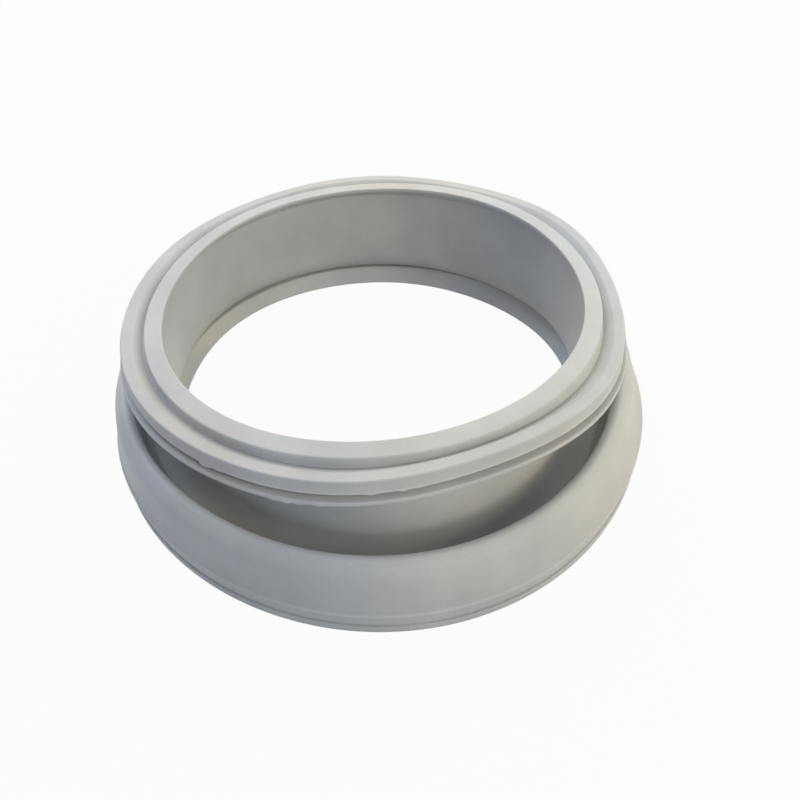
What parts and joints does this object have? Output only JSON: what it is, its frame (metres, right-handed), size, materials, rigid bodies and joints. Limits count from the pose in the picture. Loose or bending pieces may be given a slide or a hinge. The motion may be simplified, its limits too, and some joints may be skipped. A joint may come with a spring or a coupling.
{
  "type": "washing machine door seal",
  "caption": "Round grey rubber bellows seal between a front-loading washer's door and tub, with a panel lip and slot, a folded shoulder and a clamped tub bead.",
  "frame": {"origin": "centre of the tub end's foot, on the surface that the seal stands on", "axes": "+Z along the drum's axis, from the tub end up to the door end; X and Y are alike, because the section is turned about Z"},
  "size_m": [0.3858, 0.3858, 0.1028],
  "materials": {
    "grey_rubber": "satin"
  },
  "bodies": {
    "root": {"door_seal": "grey_rubber"}
  },
  "joints": []
}
